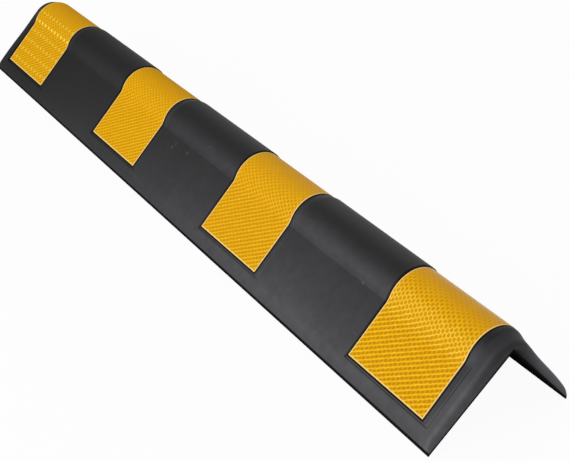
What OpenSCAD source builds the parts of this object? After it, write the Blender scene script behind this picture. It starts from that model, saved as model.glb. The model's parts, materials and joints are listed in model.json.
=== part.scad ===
// Rubber guard for an outside wall corner. Two tapering flanges stand at a right angle and
// are joined by a raised, round nose. All outer edges are rounded down to a thin land.
// Bands of reflective film wrap over the nose, each in its own shallow moulded pocket.
// The guard rests like a tent on the two free edges of its flanges, nose up.
//
// Millimetres. X runs along the guard, Y across it and Z up. The origin lies halfway
// between the two ends and the two free edges, on the surface that the guard rests on.
// A flange's section is drawn in its own plane: s runs down along the wall from the wall's
// corner, and n stands out of the wall.

/* [Guard] */
// Length of the guard
body_len = 800; // [700:10:1000]
// Width of one flange, measured along the wall
flange_w = 95; // [92:1:105]
// Thickness of the rubber over the wall's corner
corner_t = 11; // [10.5:0.5:12.5]
// Radius of the nose
nose_r = 27.5; // [26:0.5:29]
// Radius of the hollow between the nose and a flange
hollow_r = 30; // [28:1:33]
// Distance from the wall's corner to the crease, where the hollow ends and the flat begins
crease_s = 36; // [35:0.5:38]
// Thickness of a flange at the crease
crease_t = 11; // [10.5:0.5:12]

/* [Rounded edges] */
// Thickness of a flange where the rounding of its free edge begins
edge_t = 7.5; // [7:0.5:9]
// Thickness left at the foot of every rounding
land_t = 1.2; // [1:0.1:2]
// Width of the rounding along a free edge
edge_run = 13; // [11:1:16]
// Length of the rounding at either end of the guard
end_run = 12; // [11:1:16]

/* [Reflective bands] */
// Width of a band along the guard
band_w = 89.5; // [60:0.5:110]
// Distance from the wall's corner to a band's lower edge
band_reach = 77.5; // [60:0.5:79]
// Mean distance from an end of the guard to the nearest band
band_end_gap = 17.75; // [17:0.25:40]
// How far all the bands are set towards -X
band_shift = 1.3; // [0:0.1:2]
// Thickness of the film with its adhesive
film_t = 0.5; // [0.3:0.1:0.8]
// Depth of the pocket that the film lies in
pocket_depth = 1.5; // [1:0.1:2]
// Bare floor of the pocket beyond the band, towards +X
pocket_front = 7.8; // [1:0.2:8]
// Bare floor of the pocket below the band, and behind it towards -X
pocket_gap = 1.5; // [1:0.1:2]

/* [Hidden] */
$fn = 144;
band_count = 4;
rubber_colour = [0.16, 0.165, 0.17];
film_colour = [0.93, 0.66, 0.08];

// How far a cutter reaches past what it cuts
past = 5;
// How many degrees the cutter of the hollow reaches past what it cuts, at the crease and nose
past_deg = 4;
// A rounding or hollow starts this far off its tangent, so it meets the face at a true edge
bite = 0.02;

half_len = body_len / 2;
corner_z = flange_w * sin(45);
band_pitch = (body_len - 2 * band_end_gap - band_w) / (band_count - 1);
film_sink = pocket_depth - film_t;
function band_centre(index) = (index - (band_count + 1) / 2) * band_pitch - band_shift;

function heading(angle) = [cos(angle), sin(angle)];
function angle_of(v) = atan2(v.y, v.x);
function arc_radius(run, drop) = (run * run + drop * drop) / (2 * drop);
function turned(v, angle) = [v.x * cos(angle) - v.y * sin(angle), v.x * sin(angle) + v.y * cos(angle)];
function mirrored(v) = [-v.x, v.y];

// The flat of a flange: its two ends, its slope and its outward direction
crease = [crease_s, crease_t];
edge_s = flange_w - edge_run;
edge_top = [edge_s, edge_t];
taper = atan2(crease_t - edge_t, edge_s - crease_s);
flat_dir = heading(-taper);
flat_up = heading(90 - taper);
function flat_n(s, inset) = crease_t - (s - crease_s) * tan(taper) - inset / cos(taper);

// The nose is centred on the bisector of the wall's corner
nose_drop = nose_r - corner_t;
nose_c = nose_drop * heading(-45);
nose_z = corner_z - nose_drop;

// The hollow touches the nose from outside and passes through the crease
centres_apart = nose_r + hollow_r;
reach_to_crease = norm(crease - nose_c);
crease_dir = (crease - nose_c) / reach_to_crease;
along_reach = (pow(reach_to_crease, 2) + pow(centres_apart, 2) - pow(hollow_r, 2)) / (2 * reach_to_crease);
beside_reach = sqrt(pow(centres_apart, 2) - pow(along_reach, 2));
hollow_c = nose_c + along_reach * crease_dir + beside_reach * [-crease_dir.y, crease_dir.x];
join_angle = angle_of(hollow_c - nose_c);
hollow_foot = crease + ((hollow_c - crease) * flat_dir) * flat_dir;

// Both roundings drop from the flat to the land. That of a free edge is drawn along the slope,
// and stops a hair above the land.
end_drop = edge_t - land_t;
edge_fall = turned([edge_run, bite - end_drop], taper);

// Both flanges from one: the second is the first mirrored
module both_flanges() {
    children();
    mirror([1, 0, 0]) children();
}

// From the plane of a flange (s, n) to the cross-section (Y, Z)
module in_flange() {
    translate([0, corner_z, 0]) rotate([0, 0, -45]) children();
}

// From the cross-section (Y, Z) and the place along the guard (X) to the guard's frame
module in_guard() {
    rotate([90, 0, 90]) children();
}

module drawn(from_x, to_x) {
    translate([0, 0, from_x]) linear_extrude(to_x - from_x) children();
}

// What lies outside the nose when its face is set back by inset, between the two lines that
// join its centre to the centres of the hollows
module outside_nose(inset) {
    start = join_angle - 45;
    sweep = 180 - 2 * start;
    steps = 4;
    outer = 4 * nose_r;
    translate([0, nose_z]) difference() {
        polygon(concat([[0, 0]], [for (i = [0:steps]) outer * heading(start + sweep * i / steps)]));
        circle(nose_r - inset);
    }
}

// Cross-section of all that lies under the outer face when that face is set back by inset. It
// runs down each flange as far as reach, and takes in the wall's corner. A plain blank has the
// flats, and the nose and the hollows are cut out of it.
module under_face(inset, reach) {
    flat_start = hollow_foot - inset * flat_up;
    flat_end = [reach, flat_n(reach, inset)];
    one_side = [
        for (p = [[reach, nose_c.y], flat_end, flat_start, (flat_start + hollow_c) / 2])
            turned(p, -45) + [0, corner_z]
    ];
    other_side = [for (i = [len(one_side) - 1:-1:0]) mirrored(one_side[i])];
    difference() {
        polygon(concat(one_side, [[0, nose_z + centres_apart]], other_side));
        outside_nose(inset);
        both_flanges() in_flange() translate(hollow_c) circle(hollow_r + bite + inset);
    }
}

module wall_corner() {
    far = 2 * flange_w;
    polygon([[0, corner_z], [far, corner_z - far], [-far, corner_z - far]]);
}

// What a rounding takes away. x runs on from where the rounding begins, y stands out of the
// face, and the arc has fallen by drop after run.
module rounding_gap(run, drop) {
    radius = arc_radius(run, drop + bite);
    difference() {
        translate([0, -drop - past]) square([run + past, drop + 2 * past]);
        translate([0, bite - radius]) circle(radius);
    }
}

module rubber_section() {
    difference() {
        under_face(0, flange_w);
        wall_corner();
        both_flanges() in_flange() translate(edge_top) rotate(-taper)
            rounding_gap(edge_fall.x, -edge_fall.y);
    }
}

// The rounding of an end is the same arc all the way over the outer face: turned about the
// nose, turned about each hollow, and drawn along each flat
module nose_end_cut() {
    start = join_angle - 45;
    translate([0, nose_z, 0]) rotate([0, 0, start])
        rotate_extrude(angle = 180 - 2 * start)
            translate([nose_r, 0]) mirror([1, -1]) rounding_gap(end_run, end_drop);
}

module hollow_end_cut() {
    start = join_angle - 180 - past_deg;
    stop = angle_of(crease - hollow_c) + past_deg;
    translate([hollow_c.x, hollow_c.y, 0]) rotate([0, 0, start])
        rotate_extrude(angle = stop - start)
            translate([hollow_r + bite, 0]) rotate(90) rounding_gap(end_run, end_drop);
}

// This one stops at the land, so the corners keep its full thickness
module flat_end_cut() {
    length = (flange_w - hollow_foot.x) / cos(taper) + past;
    difference() {
        translate([hollow_foot.x, hollow_foot.y, 0]) rotate([0, 0, -taper]) rotate([0, 90, 0])
            linear_extrude(length) mirror([1, 0]) rounding_gap(end_run, end_drop);
        translate([0, land_t - 2 * past, -past])
            cube([flange_w + 2 * past, 2 * past, end_run + 3 * past]);
    }
}

module end_cut() {
    translate([0, 0, half_len - end_run]) {
        nose_end_cut();
        both_flanges() in_flange() {
            hollow_end_cut();
            flat_end_cut();
        }
    }
}

// Cross-section of what lies between two depths under the outer face
module layer(top_inset, floor_inset, reach) {
    difference() {
        under_face(top_inset, reach);
        under_face(floor_inset, reach + past);
    }
}

module pocket(index) {
    from_x = band_centre(index) - band_w / 2 - pocket_gap;
    to_x = band_centre(index) + band_w / 2 + pocket_front;
    drawn(from_x, to_x) layer(-past, pocket_depth, band_reach + pocket_gap);
}

module rubber_body() {
    color(rubber_colour) in_guard() difference() {
        drawn(-half_len, half_len) rubber_section();
        end_cut();
        mirror([0, 0, 1]) end_cut();
        for (index = [1:band_count]) pocket(index);
    }
}

// The film lies on the floor of its pocket
module reflective_band(index) {
    from_x = band_centre(index) - band_w / 2;
    color(film_colour) in_guard() drawn(from_x, from_x + band_w)
        layer(film_sink, pocket_depth, band_reach);
}

rubber_body();
reflective_band(1);  // reflective_band_1
reflective_band(2);  // reflective_band_2
reflective_band(3);  // reflective_band_3
reflective_band(4);  // reflective_band_4
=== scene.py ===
# %% [markdown]
# A rubber guard for an outside wall corner. It is one black moulding, and four bands of amber
# reflective film wrap over its nose. The packed model gives the true sizes and places, and it
# stays as it is. Every piece below is a finer skin that takes the place of one of its solids.
# The guard's own sizes are written in millimetres, and become metres where a mesh, a tree or a
# material takes them. The camera, the floor and the lamp are placed in metres.

# %% Load the packed model
import json
import math

import bpy
import numpy as np
from mathutils import Matrix, Vector

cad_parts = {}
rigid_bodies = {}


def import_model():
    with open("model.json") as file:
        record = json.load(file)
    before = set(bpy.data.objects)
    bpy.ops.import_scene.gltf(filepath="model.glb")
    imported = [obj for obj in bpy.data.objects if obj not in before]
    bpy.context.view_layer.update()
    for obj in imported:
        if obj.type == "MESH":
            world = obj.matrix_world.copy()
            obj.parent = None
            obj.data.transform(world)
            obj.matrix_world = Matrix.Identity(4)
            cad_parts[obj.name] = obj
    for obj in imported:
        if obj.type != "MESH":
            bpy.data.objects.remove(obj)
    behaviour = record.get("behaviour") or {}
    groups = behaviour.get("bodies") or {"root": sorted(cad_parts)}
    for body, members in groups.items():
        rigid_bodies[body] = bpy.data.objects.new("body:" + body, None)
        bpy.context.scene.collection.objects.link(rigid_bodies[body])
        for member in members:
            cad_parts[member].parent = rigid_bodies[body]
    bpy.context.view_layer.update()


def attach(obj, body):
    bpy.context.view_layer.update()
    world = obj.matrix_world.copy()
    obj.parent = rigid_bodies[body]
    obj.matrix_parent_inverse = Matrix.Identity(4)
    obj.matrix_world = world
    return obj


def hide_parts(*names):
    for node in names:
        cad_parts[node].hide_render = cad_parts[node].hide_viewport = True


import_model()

MM = 0.001

# %% [markdown]
# The camera stands off the near end of the guard, on the side of the left flange, and about half
# a metre up. A view is fixed by four things: where the camera is, what it points at, how far it
# leans, and how wide it sees. It could be turned by hand until it looks right. Here the four are
# written down, so the view comes out the same every time. The lens is given as a multiple of the
# sensor's width, which holds for any size of picture.

# %% Camera
CAMERA_PLACE = Vector((0.8632, -0.5269, 0.5393))
CAMERA_AIM = Vector((0.0835, 0.0198, 0.0))
CAMERA_LEAN = math.radians(3.55)
LENS_PER_SENSOR = 2.0700


def facing(place, aim):
    """The placement of a camera or lamp that stands at one place and looks at another."""
    turn = (Vector(aim) - Vector(place)).to_track_quat("-Z", "Y").to_matrix().to_4x4()
    return Matrix.Translation(place) @ turn


camera_data = bpy.data.cameras.new("camera")
camera_data.sensor_width = 36
camera_data.lens = camera_data.sensor_width * LENS_PER_SENSOR
camera_data.clip_start = 0.01
camera = bpy.data.objects.new("camera", camera_data)
bpy.context.collection.objects.link(camera)
camera.matrix_world = facing(CAMERA_PLACE, CAMERA_AIM) @ Matrix.Rotation(CAMERA_LEAN, 4, "Z")
bpy.context.scene.camera = camera
print("camera is", round((CAMERA_AIM - CAMERA_PLACE).length, 3), "m from its aim")

# %% [markdown]
# Shader and geometry nodes do sums with small Math nodes, which are slow to wire by hand and hard
# to read afterwards. The helpers below let a sum be written as Python writes it. A Signal stands
# for a socket, and each operator on it adds the Math node that does the same. A Bench holds one
# node tree. Its method add puts in any other node, with its settings and what feeds it.

# %% A signal, which can be used in a sum
class Signal:
    """An output of a node."""

    def __init__(self, bench, socket):
        self.bench, self.socket = bench, socket

    def __add__(self, other):
        return self.bench.sum("ADD", self, other)

    def __radd__(self, other):
        return self.bench.sum("ADD", other, self)

    def __sub__(self, other):
        return self.bench.sum("SUBTRACT", self, other)

    def __rsub__(self, other):
        return self.bench.sum("SUBTRACT", other, self)

    def __mul__(self, other):
        return self.bench.sum("MULTIPLY", self, other)

    def __rmul__(self, other):
        return self.bench.sum("MULTIPLY", other, self)

    def __truediv__(self, other):
        return self.bench.sum("DIVIDE", self, other)

    def __rtruediv__(self, other):
        return self.bench.sum("DIVIDE", other, self)


reflected = [name for name in vars(Signal) if name.startswith("__r")]
print("a number may also come first, through", reflected)

# %% Sums that come up again and again
class Masks:
    """Masks and mixes for a bench. A mask is a signal from 0 to 1."""

    def size_of(self, value):
        return self.sum("ABSOLUTE", value)

    def most(self, a, b):
        return self.sum("MAXIMUM", a, b)

    def least(self, a, b):
        return self.sum("MINIMUM", a, b)

    def slide(self, value, start, end, low=0.0, high=1.0):
        """A straight change from low at start to high at end."""
        feeds = {"Value": value, "From Min": start, "From Max": end, "To Min": low, "To Max": high}
        return self.add("ShaderNodeMapRange", {}, feeds)

    def rise(self, value, start, end):
        """A soft step from 0 at start to 1 at end."""
        feeds = {"Value": value, "From Min": start, "From Max": end}
        return self.add("ShaderNodeMapRange", {"interpolation_type": "SMOOTHSTEP"}, feeds)

    def window(self, value, start, full, fade, end):
        """1 between full and fade, with soft sides that reach 0 at start and at end."""
        return self.rise(value, start, full) * (1 - self.rise(value, fade, end))

    def blend(self, share, a, b):
        """Mixes two colours."""
        return self.add("ShaderNodeMix", {"data_type": "RGBA"}, {"Factor": share, "A": a, "B": b})


def in_mm(*lengths):
    """Millimetres turned into metres, which is what nodes work in."""
    return [length * MM for length in lengths]


print("masks and mixes:", [name for name in vars(Masks) if not name.startswith("__")])

# %% A bench, which holds one node tree
class Bench(Masks):
    """Adds nodes to a tree and lays them out from left to right."""

    def __init__(self, tree):
        self.tree = tree
        self.tree.nodes.clear()

    def add(self, kind, settings=None, feeds=None, out=0):
        """Adds a node. Settings are set first. Feeds go to sockets by name or by place."""
        node = self.tree.nodes.new(kind)
        node.location = (180 * len(self.tree.nodes), 0)
        for name, value in (settings or {}).items():
            if name == "stops":
                self.set_stops(node.color_ramp, value)
            else:
                setattr(node, name, value)
        for name, value in (feeds or {}).items():
            self.feed(self.find(node.inputs, name), value)
        outputs = [s for s in node.outputs if s.enabled]
        return Signal(self, self.find(node.outputs, out)) if outputs else node

    def find(self, sockets, name):
        """A socket by its name, or by its place among those that are in use."""
        open_ones = [s for s in sockets if s.enabled]
        if isinstance(name, int):
            return open_ones[name]
        return next(s for s in open_ones if s.name == name)

    def feed(self, socket, value):
        """Links a signal to a socket, or sets the socket to a plain value."""
        if isinstance(value, Signal):
            self.tree.links.new(value.socket, socket)
        else:
            socket.default_value = value

    def set_stops(self, ramp, stops):
        while len(ramp.elements) < len(stops):
            ramp.elements.new(0.5)
        for element, (place, colour) in zip(ramp.elements, stops):
            element.position, element.color = place, colour

    def is_wide(self, term):
        """True for a vector or a colour, false for a single number."""
        if isinstance(term, Signal):
            return term.socket.type in {"VECTOR", "RGBA"}
        return isinstance(term, (tuple, Vector))

    def sum(self, operation, *terms):
        """Joins the terms in a Math node, or in a Vector Math node where one of them is wide."""
        kind = "ShaderNodeVectorMath" if any(map(self.is_wide, terms)) else "ShaderNodeMath"
        return self.add(kind, {"operation": operation}, dict(enumerate(terms)))


print("a bench can also:", [name for name in vars(Bench) if not name.startswith("__")])

# %% [markdown]
# The guard is pressed in a mould and has one section from end to end: a round nose that passes
# through a hollow into a tapering flat, and an arc that takes the flat down to a thin land at the
# free edge. A curve could be drawn by eye and swept. Here the section is worked out from a few
# radii, as a mould maker would, because then the arcs meet without a kink. It is drawn for one
# flange and mirrored: s runs down along the wall from the wall's corner, and n stands out of it.

# %% The sizes of the section
HALF_LENGTH = 400.0
FLANGE = 95.0
NOSE_RADIUS = 27.5
CORNER_THICKNESS = 11.0
NOSE_CENTRE = (NOSE_RADIUS - CORNER_THICKNESS) * math.sqrt(0.5) * np.array((1, -1))
HOLLOW_RADIUS = 30.0
CREASE = np.array((28.0, 11.6))
EDGE_S, EDGE_N = 82.0, 7.5
LAND = 1.2
TAPER = math.atan2(CREASE[1] - EDGE_N, EDGE_S - CREASE[0])
CORNER_HEIGHT = FLANGE * math.sqrt(0.5)


def hollow_centre():
    """The hollow touches the nose from outside and passes through the crease."""
    apart = NOSE_RADIUS + HOLLOW_RADIUS
    to_crease = CREASE - NOSE_CENTRE
    reach = np.hypot(*to_crease)
    along = (reach**2 + apart**2 - HOLLOW_RADIUS**2) / (2 * reach)
    beside = math.sqrt(apart**2 - along**2)
    way = to_crease / reach
    return NOSE_CENTRE + along * way + beside * np.array((-way[1], way[0]))


def angle_of(way):
    return math.degrees(math.atan2(way[1], way[0]))


def flat_n(s):
    """How far the flat of a flange stands out of the wall at s."""
    return CREASE[1] - (s - CREASE[0]) * math.tan(TAPER)


HOLLOW_CENTRE = hollow_centre()
JOIN_ANGLE = angle_of(HOLLOW_CENTRE - NOSE_CENTRE)
print("taper", round(math.degrees(TAPER), 2), "degrees; the nose meets the hollow at",
      round(JOIN_ANGLE, 1), "degrees")

# %% The arcs of the rounded ends and free edges
END_RUN, END_DROP, END_STEPS = 5.0, 4.6, 13


def arc_radius(run, drop):
    """Radius of an arc that starts level and has fallen by drop after run."""
    return (run * run + drop * drop) / (2 * drop)


def arc_run(radius, fall):
    """How far such an arc has run when it has fallen by fall."""
    return math.sqrt(radius * radius - (radius - fall) ** 2)


def edge_arc():
    """Radius and fall of the free edge's rounding, seen from the sloping flat."""
    across, down = FLANGE - EDGE_S, EDGE_N - LAND
    run = across * math.cos(TAPER) + down * math.sin(TAPER)
    fall = down * math.cos(TAPER) - across * math.sin(TAPER)
    return arc_radius(run, fall), fall


END_RADIUS = arc_radius(END_RUN, END_DROP)
END_TURNS = np.linspace(0, math.acos(1 - END_DROP / END_RADIUS), END_STEPS)
END_FALLS = [END_RADIUS * (1 - math.cos(turn)) for turn in END_TURNS[1:]]
EDGE_RADIUS, EDGE_FALL = edge_arc()
print("end arc", round(END_RADIUS, 2), "mm; edge arc", round(EDGE_RADIUS, 2), "mm")

# %% [markdown]
# The raised nose doesn't run out through the ends of the guard. It stops short and slopes down to
# a plain rim that is level with the flats, so that no thick edge is left to catch on things. A
# second section could be drawn for the rim and the two joined. It is simpler to give each place on
# the outline one number, which says how far it bulges above the rim, and to press it in by that.
# There the face beside the nose sags a little as well, and the sag dies out down the flange.

# %% How far the face bulges above the rim
FLAT_OUT = np.array((math.sin(TAPER), math.cos(TAPER)))
RIM_REACH = (CREASE - NOSE_CENTRE) @ FLAT_OUT
RIM_SAG, SAG_START, SAG_END = 1.3, 32.0, 74.0


def soft_step(value, start, end):
    """0 at start and 1 at end, with a soft change between them."""
    share = np.clip((value - start) / (end - start), 0, 1)
    return share * share * (3 - 2 * share)


def bulge_at(place, out):
    """How far a place on the outer face lies above the rim, along its outward way."""
    sag = RIM_SAG * (1 - soft_step(place[0], SAG_START, SAG_END))
    if angle_of(out) > angle_of(FLAT_OUT):
        return NOSE_RADIUS - RIM_REACH + sag
    return (place - CREASE) @ FLAT_OUT / (out @ FLAT_OUT) + sag


print("the nose stands", round(NOSE_RADIUS - RIM_REACH, 2), "mm above the rim")

# %% [markdown]
# A skin is a grid of points, and a grid looks round only where its lines are close together. So
# the stations on the outline crowd on the arcs and at the wall of the pockets, and spread out on
# the flats. Even spacing would be easier to write, but it would spend most of its points where
# nothing turns. Each station also carries what the relief needs to know about its place.

# %% Stations on the outline
PLENTY = 99.0
NOSE_ANGLE, NOSE_STEPS, HOLLOW_STEPS = 135, 37, 11
POCKET_REACH, POCKET_RIM = 80.5, 0.3
RIM_ROWS = (-1, -0.6, -0.3, 0, 0.3, 0.6, 1)
FLAT_PLACES = (28.6, 30, 32, 35, 38, 41, 45, 50, 55, 60, 65, 70, 74, 76.5, 78.5)
FLAT_PRESS = (0.0, 1 / math.cos(TAPER))


def nose_stations():
    """From the top of the nose to where the hollow touches it."""
    for angle in np.radians(np.linspace(NOSE_ANGLE, JOIN_ANGLE, NOSE_STEPS)):
        out = np.array((math.cos(angle), math.sin(angle)))
        place = NOSE_CENTRE + NOSE_RADIUS * out
        yield (*place, *out, 0.0, PLENTY, bulge_at(place, out), 1.0)


def hollow_stations():
    """Both ends of the hollow's arc are left out, as the nose and the crease have them."""
    shares = np.linspace(0, 1, HOLLOW_STEPS)
    angles = np.linspace(JOIN_ANGLE - 180, angle_of(CREASE - HOLLOW_CENTRE), HOLLOW_STEPS)
    for share, angle in list(zip(shares, np.radians(angles)))[1:-1]:
        out = -np.array((math.cos(angle), math.sin(angle)))
        place = HOLLOW_CENTRE - HOLLOW_RADIUS * out
        yield (*place, *out, 0.0, PLENTY, bulge_at(place, out), min(1.0, 3 * (1 - share)))


def flat_stations():
    """From just past the crease to where the free edge's rounding begins."""
    walls = POCKET_REACH + POCKET_RIM * np.array(RIM_ROWS)
    for s in (*FLAT_PLACES, *walls, EDGE_S):
        n = flat_n(s)
        bulge = bulge_at(np.array((s, n)), FLAT_OUT)
        yield (s, n, *FLAT_PRESS, 0.0, (n - LAND) * math.cos(TAPER), bulge, 0.0)


def edge_stations():
    """Down the rounding of the free edge to the land."""
    for fall in [f for f in END_FALLS if f < EDGE_FALL - 0.1] + [EDGE_FALL]:
        run = arc_run(EDGE_RADIUS, fall)
        s = EDGE_S + run * math.cos(TAPER) - fall * math.sin(TAPER)
        n = EDGE_N - run * math.sin(TAPER) - fall * math.cos(TAPER)
        yield (s, n, *FLAT_PRESS, fall, (n - LAND) * math.cos(TAPER), 0.0, 0.0)


def flange_stations():
    """Stations from nose to land: s, n, outward (s, n), fall, spare, bulge, roundness."""
    crease = (*CREASE, *FLAT_OUT / FLAT_OUT[1], 0.0, PLENTY, RIM_SAG, 0.0)
    return np.array([*nose_stations(), *hollow_stations(), crease, *flat_stations(), *edge_stations()])


STATIONS = flange_stations()
print(len(STATIONS), "stations from nose to land, last at", STATIONS[-1][:2].round(3))

# %% [markdown]
# Along the guard the skin needs rows of its own. Subdivision could add them everywhere, at many
# times the faces. Here they are close together only where the face turns: at the rounded ends, at
# the walls of the pockets and where the nose slopes down. The walls of a pocket are steep on the
# flats. On the nose, the wall towards the near end is drawn out into a gentle ramp, which helps
# the moulding out of its mould.

# %% Rows along the guard
BAND_WIDTH, BAND_PITCH, BAND_COUNT, BAND_SHIFT = 89.5, 225.0, 4, -1.3
POCKET_FRONT, POCKET_GAP, POCKET_DEPTH = 7.8, 1.5, 1.5
RAMP_START, RAMP_END = 7.0, 3.0
SLOPE_START, SLOPE_END = 378.0, 397.0
FINE_STEP, PLAIN_STEP, PLAIN_REACH, CLOSEST = 1.25, 5.0, 376, 0.6
band_centres = [(i - (BAND_COUNT - 1) / 2) * BAND_PITCH + BAND_SHIFT for i in range(BAND_COUNT)]


def rows_along():
    rows = set()
    for turn in END_TURNS:
        row = HALF_LENGTH - END_RUN + END_RADIUS * math.sin(turn)
        rows |= {row, -row}
    for centre in band_centres:
        for wall in (centre - BAND_WIDTH / 2 - POCKET_GAP, centre + BAND_WIDTH / 2 + POCKET_FRONT):
            rows |= {wall + POCKET_RIM * share for share in RIM_ROWS}
    ramps = [np.arange(-RAMP_START, RAMP_END + 0.1, FINE_STEP) + centre + BAND_WIDTH / 2 + POCKET_FRONT
             for centre in band_centres]
    slopes = [side * np.arange(SLOPE_START, SLOPE_END + 0.1, FINE_STEP) for side in (-1, 1)]
    for filler in np.concatenate((*ramps, *slopes, np.arange(-PLAIN_REACH, PLAIN_REACH + 1, PLAIN_STEP))):
        if min(abs(filler - row) for row in rows) > CLOSEST:
            rows.add(filler)
    return sorted(round(row, 4) for row in rows)


ROWS = rows_along()
print(len(ROWS), "rows, bands centred at", band_centres)

# %% [markdown]
# The blank is what the mould is pressed into: a plain square-ended bar of the right section, with
# no pockets and no rounded ends. It could be an extruded curve. A mesh made from its points is
# chosen, because each point can then carry named numbers, called attributes, for the relief to
# read: how far the free edge has fallen there, how much rubber is to spare above the land, how far
# it bulges above the rim, how round the section is, whether it is in reach of a pocket, and
# whether it lies on the inner side.

# %% The ring of points round the section
INNER_PLACES = (0, 12, 30, 50, 70, 85, 95)
ATTRIBUTES = {"fall": MM, "spare": MM, "bulge": MM, "roundness": 1.0, "pocket": 1.0, "inside": 1.0}


def across_and_up(s, n, side):
    """Turns a place in a flange's own plane into Y and Z."""
    return side * (s + n) * math.sqrt(0.5), CORNER_HEIGHT + (n - s) * math.sqrt(0.5)


def way_across_and_up(s, n, side):
    """Turns a direction in a flange's own plane into Y and Z."""
    y, z = across_and_up(s, n, side)
    return y, z - CORNER_HEIGHT


def ring_of_section():
    """One turn round the section: over the outside from right to left, and back inside."""
    ring = []
    for side, stations in ((1, STATIONS[::-1]), (-1, STATIONS[1:])):
        for s, n, out_s, out_n, *depths in stations:
            pocket = soft_step(s, POCKET_REACH + POCKET_RIM, POCKET_REACH - POCKET_RIM)
            place, way = across_and_up(s, n, side), way_across_and_up(out_s, out_n, side)
            ring.append((*place, *way, *depths, pocket, 0.0))
    nothing = (0.0,) * (len(ATTRIBUTES) + 1)
    for side, places in ((-1, INNER_PLACES[::-1]), (1, INNER_PLACES[1:])):
        ring += [(*across_and_up(s, 0, side), *nothing, 1.0) for s in places]
    return np.array(ring)


RING = ring_of_section()
print(len(RING), "points round the section")

# %% The blank
def store(mesh, name, kind, values):
    """Gives each point of a mesh a named number, or a named direction."""
    attribute = mesh.attributes.new(name, kind, "POINT")
    field = "vector" if kind == "FLOAT_VECTOR" else "value"
    attribute.data.foreach_set(field, np.asarray(values, dtype=np.float32).ravel())


def blank_body():
    count = len(RING)
    places = [(x * MM, y * MM, z * MM) for x in ROWS for y, z in RING[:, :2]]
    faces = []
    for row in range(len(ROWS) - 1):
        a, b = row * count, (row + 1) * count
        for i in range(count):
            j = (i + 1) % count
            faces.append((a + i, a + j, b + j, b + i))
    last = (len(ROWS) - 1) * count
    faces.append(tuple(range(count - 1, -1, -1)))
    faces.append(tuple(last + i for i in range(count)))
    mesh = bpy.data.meshes.new("blank_body")
    mesh.from_pydata(places, [], faces)
    store(mesh, "out", "FLOAT_VECTOR", [(0, y, z) for _ in ROWS for y, z in RING[:, 2:4]])
    for column, (name, unit) in enumerate(ATTRIBUTES.items(), 4):
        store(mesh, name, "FLOAT", np.tile(RING[:, column] * unit, len(ROWS)))
    return mesh


body_blank = blank_body()
print("blank:", len(body_blank.vertices), "points", len(body_blank.polygons), "faces")

# %% [markdown]
# The relief of a moulding is the same rule everywhere: a face is pressed in by some depth. In a
# pocket the depth is even, with soft walls. Near an end the nose slopes down until only the rim is
# left, and the last few millimetres follow an arc. This could be cut with booleans, but they leave
# ragged faces where shallow shapes cross. A Geometry Nodes tree works the depth out from the place
# along the guard and moves the blank's points inwards. The sizes are its named inputs.

# %% Helpers for a Geometry Nodes tree
def new_tree(name, inputs):
    """A geometry tree with named inputs. Returns its bench and the inputs as signals."""
    tree = bpy.data.node_groups.new(name, "GeometryNodeTree")
    tree.interface.new_socket("Geometry", in_out="OUTPUT", socket_type="NodeSocketGeometry")
    tree.interface.new_socket("Geometry", in_out="INPUT", socket_type="NodeSocketGeometry")
    for label, value in inputs.items():
        socket = tree.interface.new_socket(label, in_out="INPUT", socket_type="NodeSocketFloat")
        socket.default_value = value
    tree.interface.new_socket("Material", in_out="INPUT", socket_type="NodeSocketMaterial")
    bench = Bench(tree)
    group_in = tree.nodes.new("NodeGroupInput")
    return bench, {s.name: Signal(bench, s) for s in group_in.outputs if s.name}


def finish_tree(bench, shape, material):
    """Ends a tree as the export needs it: real geometry with its material."""
    real = bench.add("GeometryNodeRealizeInstances", {}, {"Geometry": shape})
    dressed = bench.add("GeometryNodeSetMaterial", {}, {"Geometry": real, "Material": material})
    bench.add("NodeGroupOutput", {}, {"Geometry": dressed})


def named(bench, name, kind="FLOAT"):
    """Reads such a name inside a tree."""
    return bench.add("GeometryNodeInputNamedAttribute", {"data_type": kind}, {"Name": name})


def place_along(bench):
    place = bench.add("GeometryNodeInputPosition")
    return bench.add("ShaderNodeSeparateXYZ", {}, {0: place}, out=0)


print("tree helpers ready")

# %% The inputs of the relief
relief, size = new_tree("moulded relief", {
    "Half length": HALF_LENGTH * MM,
    "Slope start": SLOPE_START * MM,
    "Slope end": SLOPE_END * MM,
    "End run": END_RUN * MM,
    "End drop": END_DROP * MM,
    "Pocket depth": POCKET_DEPTH * MM,
    "Pocket pitch": BAND_PITCH * MM,
    "Pocket shift": BAND_SHIFT * MM,
    "Pocket back": (BAND_WIDTH / 2 + POCKET_GAP) * MM,
    "Pocket front": (BAND_WIDTH / 2 + POCKET_FRONT) * MM,
    "Ramp start": RAMP_START * MM,
    "Ramp end": RAMP_END * MM,
    "Rim": POCKET_RIM * MM,
    "Mitre softness": 0.8 * MM,
})
print("the relief has", len(size) - 2, "sizes as inputs")

# %% [markdown]
# At a corner of the guard the rounding of the end meets that of the free edge. Added together they
# would cut through the land. The deeper of the two is taken instead, with a soft change between
# them, which leaves a mitre like the one that a mould maker files. The depth never passes what is
# to spare above the land.

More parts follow.
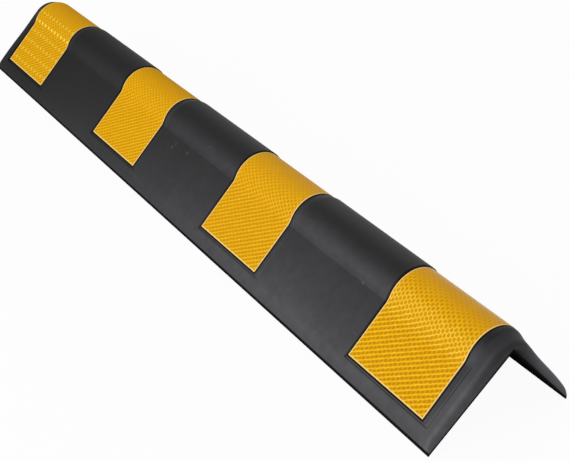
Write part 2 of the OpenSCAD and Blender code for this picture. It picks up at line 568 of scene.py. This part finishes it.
# %% The relief at the ends
along = place_along(relief)
from_middle = relief.size_of(along)
past_arc = relief.most(from_middle - (size["Half length"] - size["End run"]), 0.0)
arc = (size["End run"] * size["End run"] + size["End drop"] * size["End drop"]) / (2 * size["End drop"])
end_depth = arc - relief.sum("SQRT", arc * arc - past_arc * past_arc)
fall, spare = named(relief, "fall"), named(relief, "spare")
in_corner = relief.sum("SMOOTH_MAX", end_depth - fall, 0.0, size["Mitre softness"])
on_edge = relief.sum("GREATER_THAN", fall, 0.0001 * MM)
end_depth = end_depth + on_edge * (in_corner - end_depth)
end_depth = relief.least(end_depth, spare)
slope = relief.rise(from_middle, size["Slope start"], size["Slope end"])
end_depth = end_depth + slope * named(relief, "bulge")
print("ends wired,", len(relief.tree.nodes), "nodes")

# %% [markdown]
# The pockets are alike and stand at one pitch, so their depth is worked out once. The place along
# the guard is taken modulo the pitch, which measures each pocket from its own centre. Four cutters
# would do the same, with four sets of sizes to keep in step. The walls are soft steps, and where
# the section is round the near one is a ramp.

# %% The relief in the pockets
shifted = along - size["Pocket shift"]
from_centre = relief.sum("FLOORED_MODULO", shifted, size["Pocket pitch"]) - size["Pocket pitch"] * 0.5
back_wall = relief.rise(from_centre + size["Pocket back"], -1 * size["Rim"], size["Rim"])
to_front = size["Pocket front"] - from_centre
steep = relief.rise(to_front, -1 * size["Rim"], size["Rim"])
ramp = relief.rise(to_front, -1 * size["Ramp end"], size["Ramp start"])
front_wall = steep + named(relief, "roundness") * (ramp - steep)
pocket_depth = size["Pocket depth"] * back_wall * front_wall * named(relief, "pocket")
depth = relief.most(end_depth, pocket_depth)
inwards = named(relief, "out", "FLOAT_VECTOR") * (depth * -1.0)
pressed = relief.add("GeometryNodeSetPosition", {}, {"Geometry": size["Geometry"], "Offset": inwards})
finish_tree(relief, pressed, size["Material"])
print("relief tree:", len(relief.tree.nodes), "nodes")

# %% [markdown]
# A tree does nothing until a modifier runs it on an object. The blank is hung on a passing object,
# the modifier's inputs are set, and the result is copied out as a plain mesh. The passing object
# is then thrown away, modifier and all. Applying the modifier would do as well, but this way one
# blank serves for all four films.

# %% Run a tree on a blank
def run_tree(name, blank, bench, material, values=None):
    """Runs the tree on the blank and returns the result as a plain piece."""
    carrier = bpy.data.objects.new(name + "_blank", blank)
    bpy.context.collection.objects.link(carrier)
    modifier = carrier.modifiers.new("nodes", "NODES")
    modifier.node_group = bench.tree
    for item in bench.tree.interface.items_tree:
        if item.in_out == "INPUT" and item.name in (values or {}):
            modifier[item.identifier] = float(values[item.name])
        if item.in_out == "INPUT" and item.name == "Material":
            modifier[item.identifier] = material
    evaluated = carrier.evaluated_get(bpy.context.evaluated_depsgraph_get())
    mesh = bpy.data.meshes.new_from_object(evaluated)
    bpy.data.objects.remove(carrier)
    mesh.name = name
    piece = bpy.data.objects.new(name, mesh)
    bpy.context.collection.objects.link(piece)
    return piece


def smooth(piece, sharpest):
    """Smooth shading, apart from edges that turn by more than the given angle."""
    piece.data.shade_smooth()
    piece.data.set_sharp_from_angle(angle=math.radians(sharpest))


print("trees can be run")

# %% [markdown]
# Moulded rubber is nearly black, and one dark colour would look like plastic. Its grey is partly a
# pale bloom and dust, and mostly painted light and shade. It is lighter on the side of the nose and
# down the flats towards the free edge, and darker near the top of the nose and just past the crease.
# The shade therefore follows the distance down from the wall's corner, which Object coordinates give,
# so the painted shade stays in place from every side. The far half is darker and more matt in the
# photograph, and two straight changes along the guard give it that.

# %% Helpers for a material
def new_material(name):
    material = bpy.data.materials.new(name)
    material.use_nodes = True
    return Bench(material.node_tree), material


# The near black that painted shade is mixed to.
BLUE_TINT, SHADE_BLACK = 1.09, 0.009


def grey(value):
    """A grey that is faintly blue."""
    return (value, value, value * BLUE_TINT, 1)


def shader_end(bench, feeds, normal, black_shade=None):
    """Ends a material. Where the last mask is 1 the surface is painted matt black as shade, with no shine
    at all.
    """
    surface = bench.add("ShaderNodeBsdfPrincipled", {}, {**feeds, "Normal": normal})
    if black_shade is not None:
        black = bench.add("ShaderNodeBsdfDiffuse", {}, {"Color": grey(SHADE_BLACK)})
        surface = bench.add("ShaderNodeMixShader", {}, {0: black_shade, 1: surface, 2: black})
    bench.add("ShaderNodeOutputMaterial", {}, {"Surface": surface})


def noise(bench, vector, scale, detail, roughness=0.5):
    feeds = {"Vector": vector, "Scale": scale, "Detail": detail, "Roughness": roughness}
    return bench.add("ShaderNodeTexNoise", {}, feeds)


def bump(bench, height, depth, strength):
    return bench.add("ShaderNodeBump", {}, {"Height": height, "Distance": depth, "Strength": strength})


print("material helpers ready")

# %% Rubber: where on the section
rubber_bench, rubber = new_material("rubber")
where = rubber_bench.add("ShaderNodeTexCoord", {}, {}, out="Object")
x, y, z = (rubber_bench.add("ShaderNodeSeparateXYZ", {}, {0: where}, out=i) for i in range(3))
from_spine = rubber_bench.size_of(y)
down = (from_spine - z + CORNER_HEIGHT * MM) * math.sqrt(0.5)
off_wall = (from_spine + z - CORNER_HEIGHT * MM) * math.sqrt(0.5)
from_middle = rubber_bench.size_of(x)
inside = rubber_bench.add("ShaderNodeAttribute", {"attribute_name": "inside"}, {}, out="Fac")
print("places on the rubber are known by", ["down", "off_wall", "from_middle", "inside"])

# %% Rubber: bloom and painted shade
# Millimetres down from the wall's corner, and the shade there
SHADE_AND_BLOOM = (
    (-8, 0.016), (-1, 0.010), (2, 0.010), (6, 0.014), (10, 0.023), (18, 0.050), (22, 0.058),
    (27.6, 0.047), (28.4, 0.031), (36, 0.033), (60, 0.046), (78, 0.063), (84, 0.075), (95, 0.058),
)
RIM_SHADE_AND_BLOOM = ((-8, 0.018), (10, 0.025), (30, 0.050), (45, 0.070), (95, 0.078))


def shades_down(table):
    """A ramp of greys, partly bloom and mostly painted shade, by distance down from the wall's corner, in
    millimetres.
    """
    first, last = table[0][0], table[-1][0]
    stops = [((at - first) / (last - first), grey(shade)) for at, shade in table]
    share = rubber_bench.slide(down, first * MM, last * MM)
    return rubber_bench.add("ShaderNodeValToRGB", {"stops": stops}, {"Fac": share})


# The rims at the ends take a lighter ramp. It is a painted highlight where the rounded ends turn to the
# light.
on_rim = rubber_bench.rise(from_middle, *in_mm(386.5, 390.5))
shade_and_bloom = rubber_bench.blend(on_rim, shades_down(SHADE_AND_BLOOM), shades_down(RIM_SHADE_AND_BLOOM))
# The colour is made darker towards the far end, and is mixed partly with matt black there.
darker_to_far_end = rubber_bench.slide(x, *in_mm(-340, 240), 0.22, 1.0)
matt_end = rubber_bench.slide(x, *in_mm(-340, 160), 0.48, 0.0)
print("bloom follows", len(SHADE_AND_BLOOM), "shades, and", len(RIM_SHADE_AND_BLOOM), "on the rims")

# %% [markdown]
# Small things finish the rubber. At the foot of a pocket's near wall a thin dark line is painted
# shade, with a pale line of painted highlight beside it. The sharp edges that lie on the wall are
# painted nearly black as shade, and the rounded rims at the ends carry a painted highlight. Here and
# there the skin is scuffed or nicked, as a handled guard is. They are too shallow to model. Each one
# is a mask from 0 to 1 that makes the colour darker or lighter. A scuff is noise stretched along the
# guard, of which only the highest peaks are kept.

# %% Rubber: painted shade and highlights at the pocket walls and edges
beyond_shift = x - BAND_SHIFT * MM
in_pitch = rubber_bench.sum("FLOORED_MODULO", beyond_shift, BAND_PITCH * MM) - BAND_PITCH / 2 * MM
past_wall = in_pitch - (BAND_WIDTH / 2 + POCKET_FRONT) * MM
on_flat = rubber_bench.window(down, *in_mm(26, 29, 80, 80.8))


def stripe(start, middle, end):
    """A soft line across a flat, between two distances past the pocket's near wall."""
    return rubber_bench.window(past_wall, *in_mm(start, middle, middle, end)) * on_flat


# A thin line of painted shade at the foot of each near wall, and a painted highlight just before it.
groove = stripe(-0.9, -0.1, 1.0)
wall_highlight = stripe(-3.0, -1.7, -0.7)
# The edges that lie on the wall are painted matt black, as the shade where they meet it.
at_end = 1 - rubber_bench.rise(off_wall, *in_mm(1.2, 2.4))
at_free_edge = rubber_bench.rise(down, *in_mm(92.2, 93.2))
foot_edge_shade = rubber_bench.most(at_end, at_free_edge)
# A painted highlight along the rounded rims at the ends.
rim_highlight = rubber_bench.window(from_middle, *in_mm(393.5, 395.5, 396.5, 399))
print("masks so far:", ["groove", "wall_highlight", "foot edge", "rim highlight"])

# %% Rubber: scuffs and nicks
SCUFFED = 0.13
NICKS = ((-34.0, 38.8), (-31.7, 34.2), (-9.6, 34.7), (261.9, 27.8))
SCUFF_STRETCH = {"Rotation": (0, 0, 0.5), "Scale": (60, 420, 420)}
stretched = rubber_bench.add("ShaderNodeMapping", {}, {"Vector": where, **SCUFF_STRETCH})
scuffs = rubber_bench.rise(noise(rubber_bench, stretched, 1.0, 2.0, 0.6), 0.70, 0.80)


def nick(at, depth):
    """A pale spot on both flanges, at a place along the guard and down from the corner."""
    off_x, off_s = x - at * MM, down - depth * MM
    away = rubber_bench.sum("SQRT", off_x * off_x + off_s * off_s)
    return 1 - rubber_bench.rise(away, *in_mm(0.6, 2.0))


for at, depth in NICKS:
    scuffs = rubber_bench.most(scuffs, nick(at, depth))
print("scuffs and", len(NICKS), "nicks")

# %% [markdown]
# What is left is the skin of the rubber. It is mottled in patches of a few centimetres and of a
# few millimetres, and a grain too fine to be seen breaks up its sheen. A photograph of rubber
# could be laid over it, but that would repeat and show its seams. Noise in three sizes has neither
# fault, and one rule serves nose and flanges alike.

# %% Rubber: mottling, grain and shine
mottle = noise(rubber_bench, where, 22.0, 4.0, 0.6)
fine_mottle = noise(rubber_bench, where, 120.0, 3.0, 0.6)
grain = noise(rubber_bench, where, 1400.0, 2.0)
patchy = 0.35 + 0.7 * mottle + 0.6 * fine_mottle
# The painted shade and highlights at the pocket walls and on the rims.
painted_lines_and_highlight = (1 - 0.9 * groove) * (1 + 0.6 * wall_highlight) * (1 + 0.3 * rim_highlight)
clean_colour = shade_and_bloom * (patchy * painted_lines_and_highlight * darker_to_far_end)
rubber_feeds = {
    "Base Color": rubber_bench.blend(0.35 * scuffs, clean_colour, grey(SCUFFED)),
    "Roughness": 0.46 + 0.1 * mottle + 0.06 * fine_mottle,
    "Specular IOR Level": 0.17,
}
rubber_skin = bump(rubber_bench, grain + 0.6 * fine_mottle, 0.0001, 0.5)
# The inner faces and the edges on the wall are painted matt black as shade. The far end is also mixed
# partly with it.
black_shade = rubber_bench.most(matt_end, rubber_bench.most(inside, foot_edge_shade))
shader_end(rubber_bench, rubber_feeds, rubber_skin, black_shade)
print("rubber:", len(rubber_bench.tree.nodes), "nodes")

# %% [markdown]
# The body is the whole moulding in one piece. Smooth shading makes its arcs look round, but it
# would also smear the crease between hollow and flat, which turns by only a few degrees and is
# crisp on the real guard. An angle limit can't tell the two apart. So the edges that lie on the
# crease are found by their place in the ring and marked sharp.

# %% Body
CREASE_STATION = int(np.argmin(np.hypot(*(STATIONS[:, :2] - CREASE).T)))


def sharpen_crease(piece):
    """Keeps the crease between hollow and flat crisp, on both flanges."""
    mesh = piece.data
    ends = np.zeros(len(mesh.edges) * 2, dtype=np.int32)
    mesh.edges.foreach_get("vertices", ends)
    nose_top = len(STATIONS) - 1
    creases = (nose_top - CREASE_STATION, nose_top + CREASE_STATION)
    on_crease = np.isin(ends.reshape(-1, 2) % len(RING), creases).all(axis=1)
    sharp = np.zeros(len(mesh.edges), dtype=bool)
    mesh.attributes["sharp_edge"].data.foreach_get("value", sharp)
    mesh.attributes["sharp_edge"].data.foreach_set("value", sharp | on_crease)
    print(int(on_crease.sum()), "edges lie on the creases")


body = run_tree("guard_body", body_blank, relief, rubber)
smooth(body, sharpest=38)
sharpen_crease(body)
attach(body, "root")
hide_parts("rubber_body")
print("body:", len(body.data.vertices), "points; box", [round(v, 4) for v in body.dimensions])

# %% [markdown]
# Each band is one sheet of reflective film. It lies on the floor of its pocket, with a thin bead all
# round it that is painted almost black, as the shade at the sheet's edge. A strip could be wrapped
# on with a shrinkwrap, but it would cut the corners of the section. This strip starts as a closed
# blank, one unit wide, that follows the outline's own stations. Its attributes say how high each
# point stands, as a share of the film's thickness, and how far out it lies beyond the sheet's edge.

# %% The film round the section
FILM_REACH, LAST_GAP = 77.5, 0.4
WIDTH_SHARES = np.linspace(-0.49, 0.49, 15)
# Millimetres beyond the sheet's edge, and the height there
BEAD = ((0.05, 0.55), (0.35, 0.62), (0.8, 0.5), (1.15, 0.28), (1.4, 0.04))
SHEET_EDGE = ((-0.12, 1.0), (0.0, 0.86))


def film_line():
    """Points round the section: y, z, outward y and z, height, and distance round from the nose."""
    half = [tuple(station[:4]) + (1.0,) for station in STATIONS if station[0] < FILM_REACH - LAST_GAP]
    for beyond, height in SHEET_EDGE + BEAD:
        s = FILM_REACH + beyond
        half.append((s, flat_n(s), *FLAT_PRESS, height))
    half = np.array(half)
    steps = np.hypot(np.diff(half[:, 0]), np.diff(half[:, 1]))
    around = np.concatenate(((0,), np.cumsum(steps)))
    line = []
    for side, order in ((1, slice(None, None, -1)), (-1, slice(1, None))):
        for (s, n, out_s, out_n, height), arc_length in zip(half[order], around[order]):
            place, way = across_and_up(s, n, side), way_across_and_up(out_s, out_n, side)
            line.append((*place, *way, height, -side * arc_length))
    return np.array(line)


def film_columns():
    """Columns along the guard: share of the width, distance beyond the sheet's edge, height."""
    inner = [(share, 0.0, 1.0) for share in WIDTH_SHARES]
    edge = [(0.5, beyond, height) for beyond, height in SHEET_EDGE + BEAD]
    far = [(-share, -beyond, height) for share, beyond, height in reversed(edge)]
    return far + inner + edge


LINE, COLUMNS = film_line(), film_columns()
FILM_HALF_ARC = (LINE[0, 5] - LINE[-1, 5]) / -2 - BEAD[-1][0]
print("film:", len(LINE), "points round,", len(COLUMNS), "columns, half arc", round(FILM_HALF_ARC, 2))

# %% The faces of the film's blank
def film_faces(count, wide):
    """Faces of a closed sheet whose top points come first and whose floor points follow."""
    faces = []
    floor = count * wide
    for c in range(wide - 1):
        for i in range(count - 1):
            a, b = c * count + i, (c + 1) * count + i
            faces.append((a, a + 1, b + 1, b))
            faces.append((floor + a, floor + b, floor + b + 1, floor + a + 1))
        for i, flip in ((0, False), (count - 1, True)):
            a, b = c * count + i, (c + 1) * count + i
            wall = (a, b, floor + b, floor + a)
            faces.append(wall[::-1] if flip else wall)
    for i in range(count - 1):
        for c, flip in ((0, True), (wide - 1, False)):
            a = c * count + i
            wall = (a, a + 1, floor + a + 1, floor + a)
            faces.append(wall[::-1] if flip else wall)
    return faces


print("a sheet of 2 by 2 points has", len(film_faces(2, 2)), "faces")

# %% The film's blank
def film_blank():
    places, out, layer, around, beyond_at = [], [], [], [], []
    for top in (1.0, 0.0):
        for share, beyond, height in COLUMNS:
            for y, z, out_y, out_z, line_height, arc_length in LINE:
                places.append((share, y * MM, z * MM))
                out.append((0, out_y, out_z))
                layer.append(top * min(height, line_height))
                around.append(arc_length * MM)
                beyond_at.append(beyond * MM)
    mesh = bpy.data.meshes.new("film_blank")
    mesh.from_pydata(places, [], film_faces(len(LINE), len(COLUMNS)))
    store(mesh, "out", "FLOAT_VECTOR", out)
    store(mesh, "layer", "FLOAT", layer)
    store(mesh, "around", "FLOAT", around)
    store(mesh, "beyond", "FLOAT", beyond_at)
    return mesh


film_mesh = film_blank()
print("film blank:", len(film_mesh.vertices), "points", len(film_mesh.polygons), "faces")

# %% [markdown]
# A second tree lays the strip in its pocket. It stretches the blank to the band's width, moves it
# to its place along the guard, and sinks it until its floor lies on the pocket's. As the centre is
# an input, the same tree and the same blank make all four bands.

# %% The film as a Geometry Nodes tree
FILM_TOP, FILM_FLOOR = 1.0, 1.5
laying, size = new_tree("laid film", {
    "Centre": 0.0,
    "Width": BAND_WIDTH * MM,
    "Top depth": FILM_TOP * MM,
    "Floor depth": FILM_FLOOR * MM,
})
share = place_along(laying)
sink = size["Floor depth"] + named(laying, "layer") * (size["Top depth"] - size["Floor depth"])
new_along = size["Centre"] + share * size["Width"] + named(laying, "beyond")
shift = laying.add("ShaderNodeCombineXYZ", {}, {0: new_along - share})
offset = shift + named(laying, "out", "FLOAT_VECTOR") * (sink * -1.0)
laid = laying.add("GeometryNodeSetPosition", {}, {"Geometry": size["Geometry"], "Offset": offset})
finish_tree(laying, laid, size["Material"])
print("film tree:", len(laying.tree.nodes), "nodes")

# %% [markdown]
# Reflective film is a clear sheet over thousands of tiny cells. Their seams draw a net of slightly
# paler lines that repeats every 6.2 mm along the guard and every 4.57 mm round it. The cells are
# far too small to model, and a picture of them isn't needed: a few cosines added together make
# such a net. On the nose it is a honeycomb, and down the flats it turns into slanting lanes. The
# pattern follows the sheet, so it reads the sheet's own flat map, in metres along the guard and
# round the section.

# %% Amber film: the net of cells
NET_ALONG, NET_ROUND = 6.2, 4.57
film_bench, film = new_material("reflective_film")
spot = film_bench.add("ShaderNodeUVMap", {"uv_map": "film"})
u, v = (film_bench.add("ShaderNodeSeparateXYZ", {}, {0: spot}, out=i) for i in range(2))
wander = noise(film_bench, spot, 260.0, 2.0, 0.6) - 0.5
turn_u = u * (2 * math.pi / (NET_ALONG * MM)) + 1.6 * wander
turn_v = v * (2 * math.pi / (NET_ROUND * MM)) + 1.1 * wander
from_top = film_bench.size_of(v)


def cosine(angle):
    return film_bench.sum("COSINE", angle)


slant = cosine(turn_u + turn_v)
counter = cosine(turn_u - turn_v)
twice_along = cosine(2 * turn_u)
comb = slant + counter + twice_along
lanes = 1.7 * slant + 0.5 * counter + 0.45 * twice_along - 0.45 * cosine(2 * (turn_u + turn_v))
on_lanes = film_bench.rise(from_top, *in_mm(30, 44))
net = comb + on_lanes * (lanes - comb)
print("net wired,", len(film_bench.tree.nodes), "nodes so far")

# %% [markdown]
# The net doesn't look the same all over. It is hardly seen on top of the nose, where the film is
# rubbed. On the nearest band it is clear, and where the film bends into the hollow its seams carry a
# painted highlight and its cells are less dark. On the others it is fainter, and the film is more
# matt the farther it is from the near end. On the farthest one the cells flash together in rows of
# pale dashes, which are painted glints. Four materials could be mixed for the four bands. One is
# enough here, because such changes are masks again, some by the distance round the section and some
# by the place along the guard.

# %% Amber film: where the net shows
whole = film_bench.add("ShaderNodeTexCoord", {}, {}, out="Object")
along_guard = film_bench.add("ShaderNodeSeparateXYZ", {}, {0: whole}, out=0)
near_end = film_bench.rise(along_guard, *in_mm(100, 300))
net_strength = 0.62 + 0.3 * near_end
# Painted highlight: where the film bends into the hollow, its seams are lighter and its cells less dark.
bend_highlight = film_bench.window(from_top, *in_mm(17, 25, 38, 46)) * near_end
worn = 0.2 + 0.8 * film_bench.rise(from_top, *in_mm(3, 24))
seam = (1 - film_bench.rise(net, -1.35, -0.2)) * worn
hole = film_bench.rise(net, -0.4, 2.6) * worn
patch = noise(film_bench, spot, 90.0, 3.0, 0.6)
strong = film_bench.rise(noise(film_bench, spot, 150.0, 3.0, 0.7), 0.25, 0.62)
glint = film_bench.rise(noise(film_bench, spot, 420.0, 2.0, 0.6), 0.62, 0.76)
print("seams, holes and glints wired,", len(film_bench.tree.nodes), "nodes so far")

# %% Amber film: rows of painted glints on the farthest band
DASH_ALONG, DASH_ROUND = 8.5, 12.15
DASH_START, ROW_START = 1.0, 20.0


def repeat(place, start, pitch):
    """A cosine that peaks at start and then once every pitch, both in millimetres."""
    return cosine((place - start * MM) * (2 * math.pi / (pitch * MM)))


# Painted glints: pale dashes in rows, brightest near the crease.
dash = film_bench.rise(repeat(u, -DASH_START, DASH_ALONG), 0.0, 0.9)
row = film_bench.rise(repeat(from_top, ROW_START, DASH_ROUND), 0.35, 0.95)
far_band = 1 - film_bench.rise(along_guard, *in_mm(-240, -210))
off_nose = film_bench.rise(from_top, *in_mm(13, 16))
on_crease = film_bench.window(from_top, *in_mm(25, 28, 36, 39))
glint_dashes = dash * row * off_nose * far_band * (0.45 + 0.55 * on_crease)
print("dashes every", DASH_ALONG, "mm in rows", DASH_ROUND, "mm apart")

# %% [markdown]
# The rim of the sheet shows as a paler line, as if it were pressed flat and sealed, and the bead
# outside it is painted almost black, as the shade at the sheet's edge. One colour ramp couldn't hold
# so many things that overlap. The colour is built up in layers instead, each laid over the last by
# its own mask: amber cells, dark in their middles, then the seams, the painted glints, the rows of
# painted glints on the farthest band, the sealed rim, and the bead's painted shade.

# %% Amber film: colours
CELL_DEEP = (0.70, 0.325, 0.001, 1)
CELL_BRIGHT = (0.82, 0.395, 0.002, 1)
CELL_DARK = (0.50, 0.215, 0.001, 1)
SEAM = (1.0, 0.58, 0.008, 1)
# The seams' colour in the bend is a painted highlight.
SEAM_LIT_IN_BEND = (1.0, 0.68, 0.05, 1)
GLINT = (1.0, 0.80, 0.22, 1)
DASH_GLINT = (1.0, 0.85, 0.10, 1)
SEALED_RIM = (1.0, 0.70, 0.24, 1)
# The bead round the sheet is painted almost black, as the shade at the sheet's edge.
EDGE_SHADE = (0.007, 0.004, 0.002, 1)
to_side = BAND_WIDTH / 2 * MM - film_bench.size_of(u)
rim = film_bench.least(to_side, FILM_HALF_ARC * MM - from_top)
sheet = film_bench.rise(rim, *in_mm(-0.1, 0.1))
sealed = sheet * (1 - film_bench.rise(rim, *in_mm(0.7, 1.4)))
cell = film_bench.blend(patch, CELL_DEEP, CELL_BRIGHT)
hollowed = film_bench.blend(0.9 * hole * net_strength * (1 - 0.5 * bend_highlight), cell, CELL_DARK)
seam_colour = film_bench.blend(bend_highlight, SEAM, SEAM_LIT_IN_BEND)
netted = film_bench.blend(seam * net_strength * (0.5 + 0.5 * strong), hollowed, seam_colour)
glinting = film_bench.blend(glint * seam, netted, GLINT)
dashed = film_bench.blend(glint_dashes, glinting, DASH_GLINT)
edged = film_bench.blend(sealed, dashed, SEALED_RIM)
film_colour = film_bench.blend(1 - sheet, edged, EDGE_SHADE)
print("colours laid over each other,", len(film_bench.tree.nodes), "nodes so far")

# %% Amber film: shine
film_feeds = {
    "Base Color": film_colour,
    "Roughness": 0.85 - 0.57 * film_bench.rise(along_guard, *in_mm(-250, 350)),
    "Specular IOR Level": 0.06,
}
film_skin = bump(film_bench, (seam - 0.5 * hole) * sheet, 0.00012, 0.8)
shader_end(film_bench, film_feeds, film_skin)
print("film:", len(film_bench.tree.nodes), "nodes")

# %% [markdown]
# The four bands are alike and evenly spaced, so one loop lays them. Each gets its flat map, which
# is worked out from where its points came to lie. Unwrapping in the editor would give a map too,
# but only in shares of a picture, and here the net has to keep its true size.

# %% Four bands
def add_film_map(piece, centre):
    """A flat map of the film in metres: along the guard, and round the section."""
    mesh = piece.data
    count = len(mesh.vertices)
    places = np.zeros(count * 3)
    mesh.vertices.foreach_get("co", places)
    around = np.zeros(count)
    mesh.attributes["around"].data.foreach_get("value", around)
    flat = np.stack((places.reshape(-1, 3)[:, 0] - centre, around), axis=1)
    corners = np.zeros(len(mesh.loops), dtype=np.int32)
    mesh.loops.foreach_get("vertex_index", corners)
    layer = mesh.uv_layers.new(name="film")
    layer.data.foreach_set("uv", flat[corners].astype(np.float32).ravel())


for index, centre in enumerate(band_centres, 1):
    band = run_tree(f"film_band_{index}", film_mesh, laying, film, {"Centre": centre * MM})
    add_film_map(band, centre * MM)
    smooth(band, sharpest=40)
    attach(band, "root")
    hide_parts(f"reflective_band_{index}")
    print(band.name, "from X", round(band.bound_box[0][0], 4), "to", round(band.bound_box[6][0], 4))

# %% [markdown]
# The guard lies on a plain pale floor under soft studio light. A white backdrop that really gave
# that much light would wash the black rubber out. So the floor and the world are two things at
# once: to the camera and in reflections they are nearly plain white, and to all other light they
# are dimmer. The floor keeps a little of its true shading, which is where the shadow shows.

# %% Floor
FLOOR_HALF, FLOOR_LEVEL, FLOOR_WHITENESS = 6.0, -0.0004, 0.95
SQUARE = ((-1, -1), (1, -1), (1, 1), (-1, 1))


def plain_rays(bench):
    """1 for what the camera sees, and for what it sees in gloss or through glass."""
    path = bench.tree.nodes.new("ShaderNodeLightPath")
    kinds = ("Is Camera Ray", "Is Glossy Ray", "Is Transmission Ray")
    camera_ray, glossy_ray, glass_ray = (Signal(bench, path.outputs[name]) for name in kinds)
    return bench.least(camera_ray + glossy_ray + glass_ray, 1.0)


floor_mesh = bpy.data.meshes.new("floor")
floor_places = [(across * FLOOR_HALF, back * FLOOR_HALF, FLOOR_LEVEL) for across, back in SQUARE]
floor_mesh.from_pydata(floor_places, [], [(0, 1, 2, 3)])
floor = bpy.data.objects.new("floor", floor_mesh)
bpy.context.collection.objects.link(floor)
floor_bench, floor_material = new_material("floor")
matt = floor_bench.add("ShaderNodeBsdfDiffuse", {}, {"Color": (0.88, 0.88, 0.88, 1)})
white = floor_bench.add("ShaderNodeEmission", {}, {"Color": (1, 1, 1, 1), "Strength": 1.0})
whiteness = plain_rays(floor_bench) * FLOOR_WHITENESS
shown = floor_bench.add("ShaderNodeMixShader", {}, {0: whiteness, 1: matt, 2: white})
floor_bench.add("ShaderNodeOutputMaterial", {}, {"Surface": shown})
floor_mesh.materials.append(floor_material)
print("floor is", 2 * FLOOR_HALF, "m wide")

# %% [markdown]
# The light in the photograph is even, with hardly a shadow. Several small lamps could build that
# up, with a shadow from each to be hidden. One wide soft window off the left flange, in a world
# that shines alike from all sides, is simpler. The view transform is Standard, so that a colour
# renders about as it is written.

# %% Lamp and world
def lamp(name, place, aim, wide, power):
    data = bpy.data.lights.new(name, "AREA")
    data.shape, data.size, data.energy = "DISK", wide, power
    made = bpy.data.objects.new(name, data)
    bpy.context.collection.objects.link(made)
    made.matrix_world = facing(place, aim)
    made.visible_camera = False
    return made


window = lamp("window", place=(0.15, -1.7, 0.75), aim=(0, 0, 0.03), wide=0.9, power=13)
world = bpy.data.worlds.new("studio")
bpy.context.scene.world = world
world.use_nodes = True
world_bench = Bench(world.node_tree)
room = world_bench.add("ShaderNodeBackground", {}, {"Color": (1, 1, 1, 1), "Strength": 0.6})
white = world_bench.add("ShaderNodeBackground", {}, {"Color": (1, 1, 1, 1), "Strength": 1.0})
shown = world_bench.add("ShaderNodeMixShader", {}, {0: plain_rays(world_bench), 1: room, 2: white})
world_bench.add("ShaderNodeOutputWorld", {}, {"Surface": shown})
bpy.context.scene.view_settings.view_transform = "Standard"
print(window.name, "lamp of", window.data.energy, "W")

# %% [markdown]
